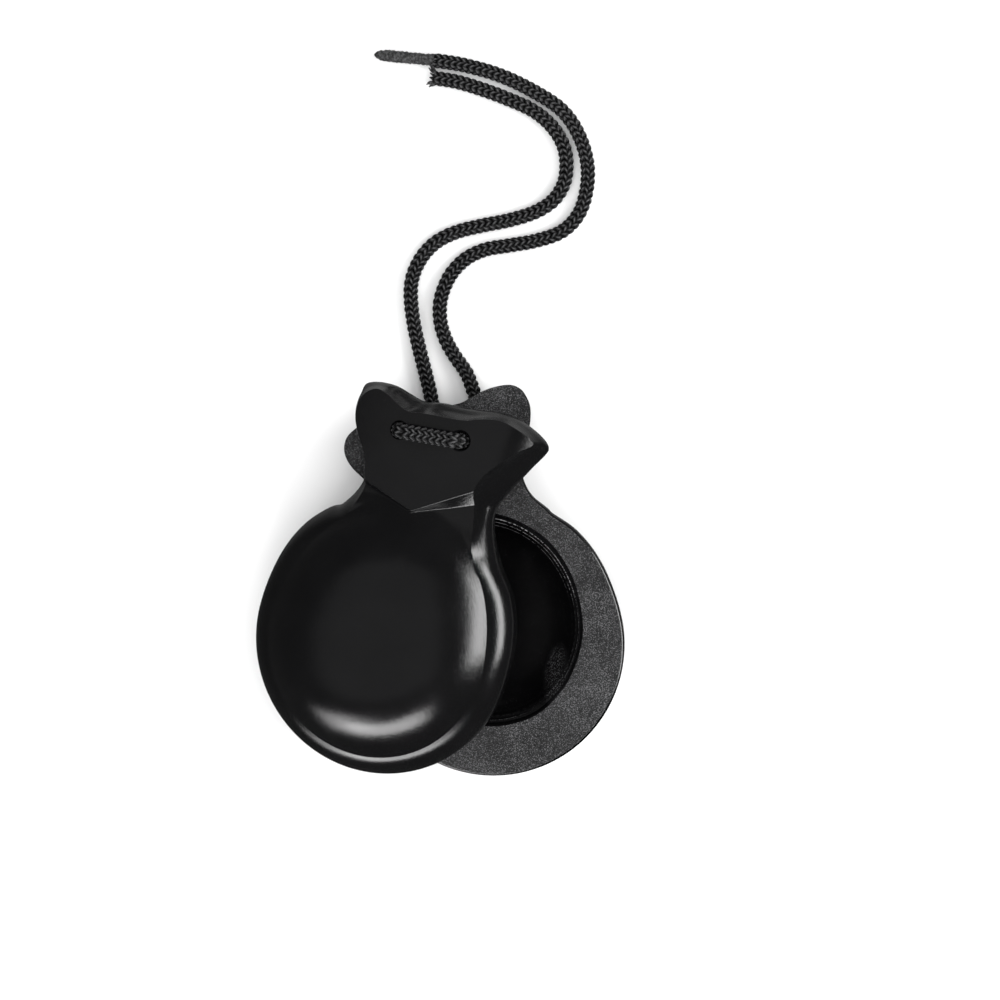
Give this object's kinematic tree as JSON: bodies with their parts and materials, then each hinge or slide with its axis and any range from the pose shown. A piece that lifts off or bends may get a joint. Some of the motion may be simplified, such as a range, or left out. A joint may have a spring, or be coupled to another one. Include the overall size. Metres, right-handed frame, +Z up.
{
  "type": "castanets",
  "caption": "Castanets: matching hollow shells with flared ears, tied through the ears with a braided cord whose tails lie free; one shell swings and claps on the other.",
  "frame": {"origin": "on the surface that the object lies on, under the middle of the back shell's bowl", "axes": "+Y from the back shell's bowl to its ear, +Z up from the surface, through the open side of the back shell"},
  "size_m": [0.1043, 0.1694, 0.0335],
  "materials": {
    "black_lacquer": "black gloss lacquer",
    "black_braid": "round braid, soft sheen",
    "sealed_cord": "heat-sealed, matte"
  },
  "bodies": {
    "back": {"back_shell": "black_lacquer", "cord_back_left": "black_braid", "cord_back_right": "black_braid", "cord_tail_left": "black_braid", "cord_tail_right": "black_braid", "cord_tip": "sealed_cord"},
    "link": {"cord_link_left": "black_braid", "cord_link_right": "black_braid"},
    "front": {"front_shell": "black_lacquer", "cord_stitch": "black_braid"}
  },
  "joints": [
    {"name": "swivel", "type": "hinge", "parent": "back", "child": "link", "pos_m": [0, 0.0412, 0.019], "axis": [0, 0.2588, 0.9659], "range_deg": [0, 72]},
    {"name": "clap", "type": "hinge", "parent": "link", "child": "front", "pos_m": [0.00915, 0.05462, 0.02044], "axis": [-0.809, 0.5678, -0.1521], "range_deg": [0, 35]}
  ]
}
